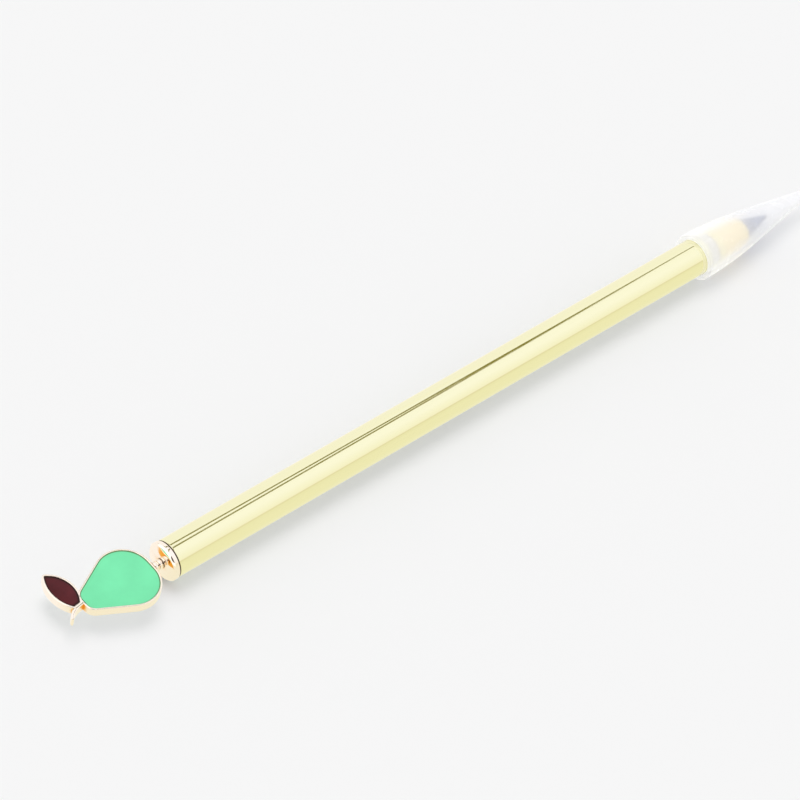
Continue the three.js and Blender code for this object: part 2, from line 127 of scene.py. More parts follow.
def eased(node, link, value, start, end, low=0, high=1, way="SMOOTHSTEP"):
    """Goes from low to high while a value goes from start to end."""
    made = node("MapRange", interpolation_type=way)
    link(value, made.inputs["Value"])
    for name, number in zip(("From Min", "From Max", "To Min", "To Max"), (start, end, low, high)):
        made.inputs[name].default_value = number
    return made.outputs[0]


def blended(node, link, share, first, second, way="MIX"):
    """Two colours, mixed by a share."""
    made = node("Mix", data_type="RGBA", blend_type=way)
    for place, value in ((0, share), (6, first), (7, second)):
        fill(link, made.inputs[place], value)
    return made.outputs[2]


def blended_shaders(node, link, share, first, second):
    made = node("MixShader")
    for socket, value in zip(made.inputs, (share, first, second)):
        fill(link, socket, value)
    return made.outputs[0]


world = bpy.data.worlds.new("studio")
bpy.context.scene.world = world
world.use_nodes = True
node, link = new_tree(world.node_tree)
calculate = calculator(node, link)
direction = node("TexCoord").outputs["Generated"]
axes = node("SeparateXYZ")
link(direction, axes.inputs[0])
along, side, height = axes.outputs
# the angle about the pencil's line, from straight up towards the far wall
sweep = calculate("MULTIPLY", calculate("ARCTAN2", side, height), 180 / math.pi)
tent = node("ValToRGB")
link(calculate("MULTIPLY_ADD", sweep, 1 / 360, 0.5), tent.inputs[0])
# what the tent shows at each angle
TENT_BANDS = [
    (-180, (0.88, 0.87, 0.72)),
    (-90, (0.91, 0.90, 0.73)),
    (-77.5, (0.90, 0.89, 0.72)),
    (-76, (0.80, 0.76, 0.58)),
    (-72.5, (0.84, 0.80, 0.64)),
    (-70, (1.0, 0.97, 0.92)),
    (-60, (1.01, 1.01, 0.98)),
    (-20, (1.06, 1.07, 1.16)),
    (30, (1.05, 1.06, 1.12)),
    (60, (1.0, 1.0, 1.0)),
    (110, (1.0, 1.0, 1.03)),
    (180, (0.95, 0.95, 0.90)),
]
stops = tent.color_ramp.elements
while len(stops) < len(TENT_BANDS):
    stops.new(1)
for stop, (angle, shade) in zip(stops, TENT_BANDS):
    stop.position = 0.5 + angle / 360
    stop.color = (*shade, 1)
# Each seam is a dark line whose angle changes along the tent: pairs of (distance along, angle) give its
# run. Both gape where they meet, and the first one ends there.
SEAM_RUNS = [
    [(0.30, 46.8), (0.46, 36.0), (0.51, 33.5), (0.555, 30.4), (0.60, 27.0)],
    [(0.30, 1.0), (0.46, 13.8), (0.533, 20.2), (0.547, 25.6), (0.60, 34.2), (0.75, 49.0)],
]
SEAM_HALF_WIDTHS = [(0.30, 3.9), (0.53, 3.9), (0.542, 5.8), (0.567, 6.0), (0.58, 4.0), (0.60, 2.8)]
FIRST_SEAM_END = (0.57, 0.585)
SEAM_SHARPNESS = 0.8  # degrees over which a seam's edge blurs
SEAM_COLOUR = (0.22, 0.19, 0.0)
SEAM_SPAN = 90  # a curve node runs from 0 to 1, so angles are kept as shares of this


def along_tent(run):
    """A value in degrees that changes along the tent: its run is pairs of (distance along, degrees)."""
    course = node("FloatCurve")
    curve = course.mapping.curves[0]
    while len(curve.points) < len(run):
        curve.points.new(0.5, 0.5)
    for point, (distance, angle) in zip(curve.points, run):
        point.location = (distance, angle / SEAM_SPAN)
        point.handle_type = "VECTOR"
    course.mapping.update()
    link(along, course.inputs["Value"])
    return calculate("MULTIPLY", course.outputs[0], SEAM_SPAN)


half_width = along_tent(SEAM_HALF_WIDTHS)
seam_shades = []
for run in SEAM_RUNS:
    off_line = calculate("ABSOLUTE", calculate("SUBTRACT", sweep, along_tent(run)))
    off_edge = calculate("SUBTRACT", off_line, half_width)
    seam_shades.append(eased(node, link, off_edge, -SEAM_SHARPNESS, SEAM_SHARPNESS))
ended = eased(node, link, along, *FIRST_SEAM_END, way="LINEAR")
seams = calculate("MULTIPLY", calculate("MAXIMUM", seam_shades[0], ended), seam_shades[1])
tented = blended(node, link, seams, SEAM_COLOUR, tent.outputs[0])
panel = eased(node, link, along, *PANEL_REACH)
panelled = blended(node, link, panel, tented, (PANEL_LIGHT,) * 3)
towards = node("VectorMath", operation="DOT_PRODUCT")
link(direction, towards.inputs[0])
towards.inputs[1].default_value = (-look + Vector((0, 0, -CAMERA_SINK))).normalized()
patch = eased(node, link, towards.outputs["Value"], *CAMERA_PATCH)
surroundings = blended(node, link, patch, panelled, CAMERA_SHADE)


def shining(colour, strength=1.0):
    made = node("Background")
    fill(link, made.inputs["Color"], colour)
    made.inputs["Strength"].default_value = strength
    return made.outputs[0]


ray = node("LightPath").outputs
after_bounce = calculate("MINIMUM", ray["Diffuse Depth"], 1)
in_gloss = blended_shaders(node, link, after_bounce, shining(surroundings), shining(BOUNCED_TINT))
lighting = shining(AMBIENT_TINT, AMBIENT_LIGHT)
lighting = blended_shaders(node, link, ray["Is Glossy Ray"], lighting, in_gloss)
in_view = calculate("MAXIMUM", ray["Is Camera Ray"], ray["Is Transmission Ray"])
lighting = blended_shaders(node, link, in_view, lighting, shining((BACKGROUND_GREY,) * 3))
link(lighting, node("OutputWorld").inputs[0])

# One big soft lamp over the far side throws the shadow towards the viewer's right.
LAMP_STRENGTH = 0.68
LAMP_COLOUR = (1.0, 0.965, 0.93)
LAMP_WIDTH = math.radians(36)
LAMP_FROM = Vector((0.10, 0.25, 1.0))
lamp = bpy.data.objects.new("soft_lamp", bpy.data.lights.new("soft_lamp", "SUN"))
bpy.context.scene.collection.objects.link(lamp)
lamp.matrix_world = LAMP_FROM.to_track_quat("Z", "Y").to_matrix().to_4x4()
lamp.data.energy = LAMP_STRENGTH
lamp.data.color = LAMP_COLOUR
lamp.data.angle = LAMP_WIDTH
lamp.visible_glossy = False


# The floor. A plain pale sheet that the pencil lies on. It keeps the pencil's shadow. Polished metal
# mirrors it in two fixed shades, whatever light falls on it.
FLOOR_SIZE = 6.0
FLOOR_COLOUR = (0.918, 0.918, 0.918)
FLOOR_NEAR_SHADE = (0.93, 0.92, 0.76)
FLOOR_FAR_SHADE = (1.0, 0.99, 0.96)
UNDER_CHARM_TINT = (1.15, 1.32, 1.44)  # as BOUNCED_TINT, for the rose gold
FLOOR_BLEND = 0.004  # half the width over which its shades change


def object_axes(node, link):
    """The piece's own coordinates, as three outputs."""
    axes = node("SeparateXYZ")
    link(node("TexCoord").outputs["Object"], axes.inputs[0])
    return axes.outputs


floor_mesh = bmesh.new()
bmesh.ops.create_grid(floor_mesh, x_segments=1, y_segments=1, size=FLOOR_SIZE / 2)
floor_data = bpy.data.meshes.new("floor")
floor_mesh.to_mesh(floor_data)
floor_mesh.free()
floor = bpy.data.objects.new("floor", floor_data)
bpy.context.scene.collection.objects.link(floor)
floor_paint = bpy.data.materials.new("floor_sheet")
floor_paint.use_nodes = True
node, link = new_tree(floor_paint.node_tree)
sheet = node("BsdfDiffuse")
sheet.inputs["Color"].default_value = (*FLOOR_COLOUR, 1)
along_floor, across_floor, _ = object_axes(node, link)
far = eased(node, link, across_floor, -FLOOR_BLEND, FLOOR_BLEND)
shade = blended(node, link, far, FLOOR_NEAR_SHADE, FLOOR_FAR_SHADE)
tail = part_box("barrel_tube")[0].x
under_charm = eased(node, link, along_floor, tail + FLOOR_BLEND, tail - FLOOR_BLEND)
bounce = blended(node, link, under_charm, BOUNCED_TINT, UNDER_CHARM_TINT)
ray = node("LightPath").outputs
after_bounce = calculator(node, link)("MINIMUM", ray["Diffuse Depth"], 1)
mirrored = node("Emission")
link(blended(node, link, after_bounce, shade, bounce), mirrored.inputs["Color"])
mixed = blended_shaders(node, link, ray["Is Glossy Ray"], sheet.outputs[0], mirrored.outputs[0])
link(mixed, node("OutputMaterial").inputs[0])
floor.data.materials.append(floor_paint)


# The barrel. A drawn aluminium tube, polished and anodised pale gold. Its tail end is square with a
# broken edge, and its mouth is rolled in. The bush and the ferrule are pressed into its ends.
MM = 0.001
BARREL_RADIUS = 3.75
BARREL_BORE = 3.25
BARREL_LENGTH = 137.3
BARREL_LIP_LENGTH = 1.2
BARREL_LIP_DROP = 0.3
BARREL_EDGE = 0.03
BARREL_MOUTH_EDGE = 0.1
GOLD_ANODISED = (0.922, 0.888, 0.578)
# painted shade: the dark brown that stands for the shade deep in a gap between two metal pieces
GAP_SHADE_BROWN = (0.05, 0.022, 0.008)  # what a gap between two metal pieces looks like in its depth

barrel_low, barrel_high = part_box("barrel_tube")
seam_x = barrel_low.x  # the pencil's zero, where the ferrule's flange meets the tube
axis_y = (barrel_low.y + barrel_high.y) / 2
axis_z = (barrel_low.z + barrel_high.z) / 2
to_pencil = Matrix.Translation((seam_x, axis_y, axis_z)) @ Matrix.Scale(MM, 4)


def finish_piece(name, bm, material, body, replaced, sharp=50):
    """Makes the finished object from a bmesh in mm about the pencil's axis, and hands it over."""
    bmesh.ops.remove_doubles(bm, verts=bm.verts, dist=0.0002)
    bmesh.ops.recalc_face_normals(bm, faces=bm.faces)
    bmesh.ops.transform(bm, matrix=to_pencil, verts=bm.verts)
    for face in bm.faces:
        face.smooth = True
    data = bpy.data.meshes.new(name)
    bm.to_mesh(data)
    bm.free()
    data.set_sharp_from_angle(angle=math.radians(sharp))
    piece = bpy.data.objects.new(name, data)
    bpy.context.scene.collection.objects.link(piece)
    data.materials.append(material)
    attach(piece, body)
    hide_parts(replaced)
    return piece


RING_HOLD = 0.22  # a ring this near each end of a long straight keeps its shading straight


def held(profile, closed):
    """The profile with a point added near both ends of each long straight run."""
    points = []
    for start, end in zip(profile, profile[1:] + profile[:1]):
        points.append(start)
        length = math.dist(start, end)
        if length > 3 * RING_HOLD and (end is not profile[0] or closed):
            for share in (RING_HOLD / length, 1 - RING_HOLD / length):
                points.append([a + (b - a) * share for a, b in zip(start, end)])
    return points


def turned(profile, steps=192):
    """A turned part in mm: its profile's (distance, radius) points as a wire, spun round the axis."""
    bm = bmesh.new()
    closed = profile[0][1] > 0 and profile[-1][1] > 0
    points = [bm.verts.new((x, 0, radius)) for x, radius in held(profile, closed)]
    pairs = list(zip(points, points[1:])) + ([(points[-1], points[0])] if closed else [])
    wires = [bm.edges.new(pair) for pair in pairs]
    bmesh.ops.spin(
        bm, geom=points + wires, cent=(0, 0, 0), axis=(1, 0, 0),
        angle=2 * math.pi, steps=steps, use_merge=True,
    )
    bmesh.ops.remove_doubles(bm, verts=bm.verts, dist=0.0002)
    return bm


def break_edges(bm, width, sharper_than=35, between=(-1000, 1000)):
    """Rounds the turned corners that are sharper than an angle and lie between two distances."""
    bmesh.ops.recalc_face_normals(bm, faces=bm.faces)
    corners = [
        edge
        for edge in bm.edges
        if edge.is_manifold
        and abs(edge.verts[0].co.x - edge.verts[1].co.x) < 1e-4
        and between[0] < edge.verts[0].co.x < between[1]
        and edge.calc_face_angle(0) > math.radians(sharper_than)
    ]
    bmesh.ops.bevel(
        bm, geom=corners, offset=width, offset_type="OFFSET", segments=3,
        profile=0.5, affect="EDGES", clamp_overlap=True, material=-1,
    )


def quarter(x, radius, along, across, steps=8):
    """Points of a rounded shoulder: a quarter ellipse of the given reach along and across the axis."""
    angles = [math.radians(90 * i / steps) for i in range(steps + 1)]
    return [(x + along * math.sin(a), radius - across * (1 - math.cos(a))) for a in angles]


def new_material(name):
    material = bpy.data.materials.new(name)
    material.use_nodes = True
    node, link = new_tree(material.node_tree)
    shader = node("BsdfPrincipled")
    link(shader.outputs[0], node("OutputMaterial").inputs[0])
    return material, node, link, shader


def object_noise(node, link, scale, detail=3, stretch=(1, 1, 1)):
    """Noise in the piece's own space. Scale is in features for each metre."""
    mapping = node("Mapping")
    mapping.inputs["Scale"].default_value = stretch
    link(node("TexCoord").outputs["Object"], mapping.inputs["Vector"])
    noise = node("TexNoise")
    noise.inputs["Scale"].default_value = scale
    noise.inputs["Detail"].default_value = detail
    link(mapping.outputs[0], noise.inputs["Vector"])
    return noise.outputs["Fac"]


def ranged(node, link, value, low, high):
    """Spreads a noise, most of which lies between 0.3 and 0.7, from low to high."""
    return eased(node, link, value, 0.3, 0.7, low, high, way="LINEAR")


def bumped(node, link, shader, height, strength, depth=0.01):
    """Gives a surface a fine relief. Its depth is in mm."""
    bump = node("Bump")
    bump.inputs["Strength"].default_value = strength
    bump.inputs["Distance"].default_value = depth * MM
    link(height, bump.inputs["Height"])
    link(bump.outputs[0], shader.inputs["Normal"])


def anodised_gold():
    """Polished tube with the faint lengthwise lines of drawing and buffing left under the anodising. Its
    tail end face is painted dark brown, as the shade in the gap round the ferrule's neck.
    """
    material, node, link, shader = new_material("anodised_gold")
    along = object_axes(node, link)[0]
    # painted shade: the tube's end face turns dark brown, where it stands in the ferrule's gap
    clear_of_gap_shade = eased(
        node, link, along, seam_x + BARREL_EDGE / 3 * MM, seam_x + BARREL_EDGE * MM, way="LINEAR"
    )
    link(blended(node, link, clear_of_gap_shade, GAP_SHADE_BROWN, GOLD_ANODISED), shader.inputs["Base Color"])
    shader.inputs["Metallic"].default_value = 1
    lines = object_noise(node, link, 60, 4, (0.6, 45, 45))
    cloud = object_noise(node, link, 350, 3)
    roughness = calculator(node, link)(
        "ADD", ranged(node, link, lines, 0.0, 0.05), ranged(node, link, cloud, 0.045, 0.075)
    )
    link(roughness, shader.inputs["Roughness"])
    bumped(node, link, shader, lines, 0.06)
    return material


barrel_mesh = turned(
    [
        (0, BARREL_BORE),
        (0, BARREL_RADIUS),
        *quarter(
            BARREL_LENGTH - BARREL_LIP_LENGTH, BARREL_RADIUS, BARREL_LIP_LENGTH, BARREL_LIP_DROP
        ),
        (BARREL_LENGTH, BARREL_BORE),
    ]
)
break_edges(barrel_mesh, BARREL_EDGE, between=(-1, 1))
break_edges(barrel_mesh, BARREL_MOUTH_EDGE, between=(1, BARREL_LENGTH + 1))
finish_piece(
    "barrel_shell", barrel_mesh, anodised_gold(), "barrel", "barrel_tube"
)


# The tail ferrule. Turned brass, plated rose gold and polished. Its bevelled flange stands just proud of
# the tube, with a narrow gap cut between them, and its spigot is pressed into the tube.
FERRULE_RADIUS = 3.85
FERRULE_THICKNESS = 1.12
FERRULE_BEVEL = 0.35
FERRULE_EDGE = 0.03
FACE_CROWN = 0.27  # buffing leaves the face slightly domed
CROWN_STEPS = 16
FERRULE_GAP = 0.26
FERRULE_NECK = 3.5
FERRULE_SPIGOT = 3.23
FERRULE_SPIGOT_END = 5.98
FERRULE_CHAMFER = 0.4
FACE_CLEARANCE = 0.02
POST_SHANK = 0.8
POST_SHANK_DEPTH = 3.5
ROSE_GOLD = (1.0, 0.895, 0.775)
# painted reflection: the deep orange that plated gold shows where it mirrors itself in corners
ROSE_GOLD_SELF_REFLECTION = (0.92, 0.46, 0.07)
# the ferrule's painted shade and painted reflection, by how open its surface is
CORNER_SHADE_AND_REFLECTION = [(0.02, GAP_SHADE_BROWN), (0.2, GAP_SHADE_BROWN), (0.32, ROSE_GOLD_SELF_REFLECTION)]

ferrule_face = -FACE_CLEARANCE - FERRULE_GAP - FERRULE_THICKNESS
flange_end = -FACE_CLEARANCE - FERRULE_GAP
face_radius = FERRULE_RADIUS - FERRULE_BEVEL
post_hole = POST_SHANK + FACE_CLEARANCE
crown_radii = [
    post_hole + (face_radius - post_hole) * i / CROWN_STEPS for i in range(CROWN_STEPS + 1)
]


def painted_by_openness(node, link, reach, tones, open_tone):
    """Paints a metal's colour by how open its surface lies within a reach: painted shade and painted
    reflection where it is closed in. Its tones are pairs of (openness, colour).
    """
    openness = node("AmbientOcclusion", samples=12)
    openness.inputs["Distance"].default_value = reach
    ramp = node("ValToRGB")
    link(openness.outputs["AO"], ramp.inputs[0])
    elements = ramp.color_ramp.elements
    while len(elements) < len(tones) + 1:
        elements.new(1)
    for element, (place, tone) in zip(elements, [*tones, open_tone]):
        element.position = place
        element.color = (*tone, 1)
    return ramp.outputs[0]


def rose_gold_plate(name, reach, tones, open_from):
    """Plated and polished metal, with painted shade deep in corners and a painted warmer reflection in
    corners, where such metal mirrors itself.
    """
    material, node, link, shader = new_material(name)
    shade = painted_by_openness(node, link, reach, tones, (open_from, ROSE_GOLD))
    link(shade, shader.inputs["Base Color"])
    shader.inputs["Metallic"].default_value = 1
    polish = object_noise(node, link, 900, 3)
    link(ranged(node, link, polish, 0.05, 0.10), shader.inputs["Roughness"])
    bumped(node, link, shader, object_noise(node, link, 1500, 2), 0.05)
    return material


ferrule_mesh = turned(
    [
        (ferrule_face + POST_SHANK_DEPTH + FACE_CLEARANCE, 0),
        (ferrule_face + POST_SHANK_DEPTH + FACE_CLEARANCE, post_hole),
        *[
            (ferrule_face - FACE_CROWN * (1 - (radius / face_radius) ** 2), radius)
            for radius in crown_radii
        ],
        (ferrule_face + FERRULE_BEVEL, FERRULE_RADIUS),
        (flange_end, FERRULE_RADIUS),
        (flange_end, FERRULE_NECK),
        (-FACE_CLEARANCE, FERRULE_NECK),
        (-FACE_CLEARANCE, FERRULE_SPIGOT),
        (FERRULE_SPIGOT_END - FERRULE_CHAMFER, FERRULE_SPIGOT),
        (FERRULE_SPIGOT_END, FERRULE_SPIGOT - FERRULE_CHAMFER),
        (FERRULE_SPIGOT_END, 0),
    ]
)
break_edges(ferrule_mesh, FERRULE_EDGE, between=(ferrule_face - 1, -FACE_CLEARANCE - 0.01))
finish_piece(
    "tail_fitting", ferrule_mesh, rose_gold_plate("plated_fitting", 0.004, CORNER_SHADE_AND_REFLECTION, 0.55),
    "barrel", "tail_ferrule",
)


# The charm's post. A short turned brass pin, plated like the ferrule. A thin pin in the charm's edge
# and a shank in the ferrule hold it, and two beads show between them.
POST_RADIUS = 1.02
POST_WAIST = 0.78
POST_PIN = 0.4
POST_PIN_LENGTH = 0.32
CHARM_END = -3.45
BEADS = 2
BEAD_STEPS = 16
# painted shade in the waists between and beside the post's beads, by how open its surface is
WAIST_SHADE = [(0.3, GAP_SHADE_BROWN), (0.5, GAP_SHADE_BROWN)]

beads_back = CHARM_END + FACE_CLEARANCE
beads_front = ferrule_face - FACE_CLEARANCE
bead_length = (beads_front - beads_back) / BEADS
bead_points = []
for bead in range(BEADS):
    for i in range(1 if bead else 0, BEAD_STEPS + 1):
        angle = math.pi * i / BEAD_STEPS
        x = beads_back + bead_length * (bead + (1 - math.cos(angle)) / 2)
        bead_points.append((x, POST_WAIST + (POST_RADIUS - POST_WAIST) * math.sin(angle)))
post_mesh = turned(
    [
        (CHARM_END - POST_PIN_LENGTH, 0),
        (CHARM_END - POST_PIN_LENGTH, POST_PIN),
        (beads_back, POST_PIN),
        *bead_points,
        (beads_front, POST_SHANK),
        (ferrule_face + POST_SHANK_DEPTH, POST_SHANK),
        (ferrule_face + POST_SHANK_DEPTH, 0),
    ],
    steps=96,
)
finish_piece(
    "charm_pin", post_mesh, rose_gold_plate("plated_post", 0.0006, WAIST_SHADE, 0.7),
    "barrel", "charm_post",
)


# The charm. One die casting, plated and polished, flat on its back. A thin rim stands round the pear's
# tray and the leaf's tray, and the stem runs out between them in full thickness.
CHARM_TOP = 0.95
CHARM_ROUNDING = 0.16
RIM_WIDTH = 0.38
RIM_ROUNDING = 0.12  # of the edge round the inside of each rim
TRAY_DEPTH = 0.7
TRAY_CLEARANCE = 0.02
PEAR_SHIFT = 0.38
PEAR_BELLY = (5.1, 1.03)  # its arcs' radius, and how far their centres lie from the pear's own axis
PEAR_NECK = (1.94, 0.6)
PEAR_RISE = 7.78
LEAF_LENGTH = 8.15
LEAF_BASE_WIDTH = 1.6
LEAF_OUTER_BULGE = 1.7
LEAF_INNER_BULGE = 2.25
LEAF_CORNER = 0.2
LEAF_LEAN = math.radians(7.2)
LEAF_BASE_RISE = 0.36
LEAF_TO_PEAR = 0.65
STEM_BURY = 0.6  # the stretch of its root inside the pear
STEM_SIDE = 0.34  # how far its root lies off the pear's own axis
STEM_BEND = (2.52, 0.27)  # past the rim, and sideways from the root, away from the leaf
STEM_END = (3.5, 1.95)
STEM_WIDTHS = (1.0, 0.57)
STEM_STEPS = 20
STEM_END_TURN = math.radians(12.2)  # from one station to the next round its end
STEM_END_STEPS = 7
STEM_ROUNDING = CHARM_ROUNDING * 1.2  # in shares of half its width and of its thickness
ARC_STEP = (2.5, 0.06)  # degrees and mm, of which the longer one counts
# the casting's painted shade and painted warm reflection in its nooks, such as where the stem meets the
# trays
NOOK_SHADE_AND_REFLECTION = [(0.02, GAP_SHADE_BROWN), (0.1, ROSE_GOLD_SELF_REFLECTION), (0.56, ROSE_GOLD_SELF_REFLECTION)]

belly_x = CHARM_END - RIM_WIDTH - PEAR_BELLY[0]
neck_x = belly_x - PEAR_RISE
neck_end = neck_x - PEAR_NECK[0]


def arc(x, y, radius, start, end):
    """An arc round a centre, turning left from its start to its end."""
    return (x, y, radius, start, start + (end - start) % (2 * math.pi))


def arc_through(start, middle, end):
    """The arc from start to end through middle."""
    a, b = middle - start, end - start
    cross = 2 * (a.x * b.y - a.y * b.x)
    centre = start + Vector(
        (
            (b.y * a.length_squared - a.y * b.length_squared) / cross,
            (a.x * b.length_squared - b.x * a.length_squared) / cross,
        )
    )
    first, last = start - centre, end - centre
    return arc(
        centre.x, centre.y, first.length, math.atan2(first.y, first.x), math.atan2(last.y, last.x)
    )


def pear_arcs():
    """The pear's outline: two arcs round its belly and two round its neck."""
    (belly, belly_spread), (neck, neck_spread) = PEAR_BELLY, PEAR_NECK
    slope = math.atan2(belly_spread - neck_spread, PEAR_RISE)
    flank = math.hypot(belly_spread - neck_spread, PEAR_RISE)
    facing = math.pi + slope - math.acos((belly - neck) / flank)
    return [
        arc(belly_x, PEAR_SHIFT - belly_spread, belly, -facing, 0),
        arc(belly_x, PEAR_SHIFT + belly_spread, belly, 0, facing),
        arc(neck_x, PEAR_SHIFT + neck_spread, neck, facing, math.pi),
        arc(neck_x, PEAR_SHIFT - neck_spread, neck, math.pi, -facing),
    ]


def leaf_arcs():
    """The leaf's outline: two bowed sides that meet in a point, and a blunt base."""
    base = Vector((neck_end - LEAF_TO_PEAR - LEAF_BASE_WIDTH / 2, PEAR_SHIFT + LEAF_BASE_RISE))
    forward = Vector((-math.sin(LEAF_LEAN), math.cos(LEAF_LEAN)))
    inward = Vector((math.cos(LEAF_LEAN), math.sin(LEAF_LEAN)))
    half_base = LEAF_BASE_WIDTH / 2 - LEAF_CORNER
    inner_corner = base + forward * LEAF_CORNER + inward * half_base
    outer_corner = base + forward * LEAF_CORNER - inward * half_base
    point = base + forward * (LEAF_LENGTH - LEAF_CORNER)
    waist = base + forward * LEAF_LENGTH / 2
    inner = arc_through(inner_corner, waist + inward * (LEAF_INNER_BULGE - LEAF_CORNER), point)
    outer = arc_through(point, waist - inward * (LEAF_OUTER_BULGE - LEAF_CORNER), outer_corner)
    base_facing = LEAF_LEAN - math.pi / 2
    drawn = [
        inner,
        arc(*point, 0, inner[4], outer[3]),
        outer,
        arc(*outer_corner, 0, outer[4], base_facing),
        arc(*inner_corner, 0, base_facing, inner[3]),
    ]
    # drawn one corner radius further in, and grown by it
    return [(x, y, radius + LEAF_CORNER, start, end) for x, y, radius, start, end in drawn]


def ring_of(bm, arcs, grow, z):
    """Spins a point along each arc of an outline, grown by a distance, at one height."""
    for x, y, radius, start, end in arcs:
        reach = radius + grow
        if reach < 0.001:
            bm.verts.new((x, y, z))
            continue
        begin = bm.verts.new((x + reach * math.cos(start), y + reach * math.sin(start), z))
        turn = end - start
        steps = math.ceil(min(math.degrees(turn) / ARC_STEP[0], radius * turn / ARC_STEP[1]))
        bmesh.ops.spin(
            bm, geom=[begin], cent=(x, y, z), axis=(0, 0, 1), angle=turn, steps=max(2, steps),
        )


def slab(arcs, grow, bottom, top, edge=0.0):
    """A plate with the outline of the arcs: a hull over its rings, with rounded edges if it has any."""
    bm = bmesh.new()
    levels = [(0, 0)]
    if edge:
        angles = [math.radians(22.5 * i) for i in range(5)]
        levels = [(edge * (1 - math.sin(a)), edge * (1 - math.cos(a))) for a in angles]
    for lift, shrink in levels:
        ring_of(bm, arcs, grow - shrink, bottom + lift)
        ring_of(bm, arcs, grow - shrink, top - lift)
    bmesh.ops.remove_doubles(bm, verts=bm.verts, dist=0.0005)
    hull = bmesh.ops.convex_hull(bm, input=bm.verts)
    spare = [
        item
        for item in hull["geom_interior"] + hull["geom_unused"]
        if isinstance(item, bmesh.types.BMVert)
    ]
    bmesh.ops.delete(bm, geom=spare, context="VERTS")
    loose = [edge for edge in bm.edges if not edge.link_faces]
    bmesh.ops.delete(bm, geom=loose, context="EDGES")
    bmesh.ops.dissolve_limit(
        bm, angle_limit=math.radians(0.2), verts=bm.verts, edges=bm.edges,
        use_dissolve_boundaries=False,
    )
    bmesh.ops.recalc_face_normals(bm, faces=bm.faces)
    return bm


def loose_object(name, bm):
    data = bpy.data.meshes.new(name)
    bm.to_mesh(data)
    bm.free()
    made = bpy.data.objects.new(name, data)
    bpy.context.scene.collection.objects.link(made)
    return made


def cut_together(whole, tools):
    """Joins or cuts whole with each (object, operation), applies the result and deletes the tools."""
    for tool, operation in tools:
        modifier = whole.modifiers.new("join", "BOOLEAN")
        modifier.operation = operation
        modifier.solver = "EXACT"
        modifier.object = tool
    graph = bpy.context.evaluated_depsgraph_get()
    done = bpy.data.meshes.new_from_object(whole.evaluated_get(graph))
    for piece in [whole] + [tool for tool, operation in tools]:
        bpy.data.objects.remove(piece)
    bm = bmesh.new()
    bm.from_mesh(done)
    bpy.data.meshes.remove(done)
    return bm


def stem_strip():
    """The stem: a rounded section, extruded along its bend while it narrows, and round at its end."""
    root_y = PEAR_SHIFT + STEM_SIDE
    root = Vector((neck_end + STEM_BURY, root_y))
    bend, end = [
        Vector((neck_end - RIM_WIDTH - out, root_y - aside)) for out, aside in (STEM_BEND, STEM_END)
    ]
    stations = []
    for i in range(STEM_STEPS + 1):
        t = i / STEM_STEPS
        place = root * (1 - t) ** 2 + bend * 2 * t * (1 - t) + end * t**2
        heading = ((bend - root) * (1 - t) + (end - bend) * t).normalized()
        stations.append((place, heading, STEM_WIDTHS[0] + (STEM_WIDTHS[1] - STEM_WIDTHS[0]) * t))
    for i in range(1, STEM_END_STEPS + 1):
        angle = STEM_END_TURN * i
        place = end + stations[STEM_STEPS][1] * STEM_WIDTHS[1] / 2 * math.sin(angle)
        stations.append((place, stations[STEM_STEPS][1], STEM_WIDTHS[1] * math.cos(angle)))
    bm = bmesh.new()
    section = bmesh.ops.create_grid(bm, x_segments=1, y_segments=1, size=1)["verts"]
    bmesh.ops.bevel(
        bm, geom=section, offset=STEM_ROUNDING, offset_type="OFFSET", segments=4,
        profile=0.5, affect="VERTICES", clamp_overlap=True, material=-1,
    )
    flat = Matrix(((0, 0, 1, 0), (1, 0, 0, 0), (0, 1, 0, 0), (0, 0, 0, 1)))
    bmesh.ops.transform(bm, matrix=flat, verts=bm.verts)

    def frame_at(station):
        place, heading, width = station
        across = Vector((-heading.y, heading.x))
        return Matrix(
            (
                (heading.x, across.x * width / 2, 0, place.x),
                (heading.y, across.y * width / 2, 0, place.y),
                (0, 0, CHARM_TOP, 0),
                (0, 0, 0, 1),
            )
        )

    bmesh.ops.transform(bm, matrix=frame_at(stations[0]), verts=bm.verts)
    front = list(bm.faces)
    for before, after in zip(stations, stations[1:]):
        made = bmesh.ops.extrude_face_region(bm, geom=front)["geom"]
        if before is not stations[0]:
            inside = [face for face in front if face.is_valid]
            bmesh.ops.delete(bm, geom=inside, context="FACES_ONLY")
        front = [item for item in made if isinstance(item, bmesh.types.BMFace)]
        moved = [item for item in made if isinstance(item, bmesh.types.BMVert)]
        bmesh.ops.transform(bm, matrix=frame_at(after) @ frame_at(before).inverted(), verts=moved)
    bmesh.ops.recalc_face_normals(bm, faces=bm.faces)
    return bm


tray_floor = CHARM_TOP - TRAY_DEPTH


def tray_cutter(name, arcs):
    return loose_object(name, slab(arcs, TRAY_CLEARANCE, tray_floor, CHARM_TOP + 0.5)), "DIFFERENCE"


def plate(name, arcs):
    return loose_object(name, slab(arcs, RIM_WIDTH, -CHARM_TOP, CHARM_TOP, CHARM_ROUNDING))


def round_rims(bm):
    """Rounds the edge where each tray's wall meets the top of its rim."""
    bmesh.ops.remove_doubles(bm, verts=bm.verts, dist=0.002)
    tops = [
        face
        for face in bm.faces
        if len(face.verts) > 4 and all(abs(vert.co.z - CHARM_TOP) < 0.001 for vert in face.verts)
    ]
    bmesh.ops.triangulate(bm, faces=tops)  # a rim's ring-shaped top would be filled in
    bmesh.ops.recalc_face_normals(bm, faces=bm.faces)
    inner = [
        edge
        for edge in bm.edges
        if edge.is_manifold
        and all(abs(vert.co.z - CHARM_TOP) < 0.001 for vert in edge.verts)
        and edge.calc_face_angle(0) > math.radians(60)
    ]
    bmesh.ops.bevel(
        bm, geom=inner, offset=RIM_ROUNDING, offset_type="OFFSET", segments=4,
        profile=0.5, affect="EDGES", clamp_overlap=False, material=-1,
    )


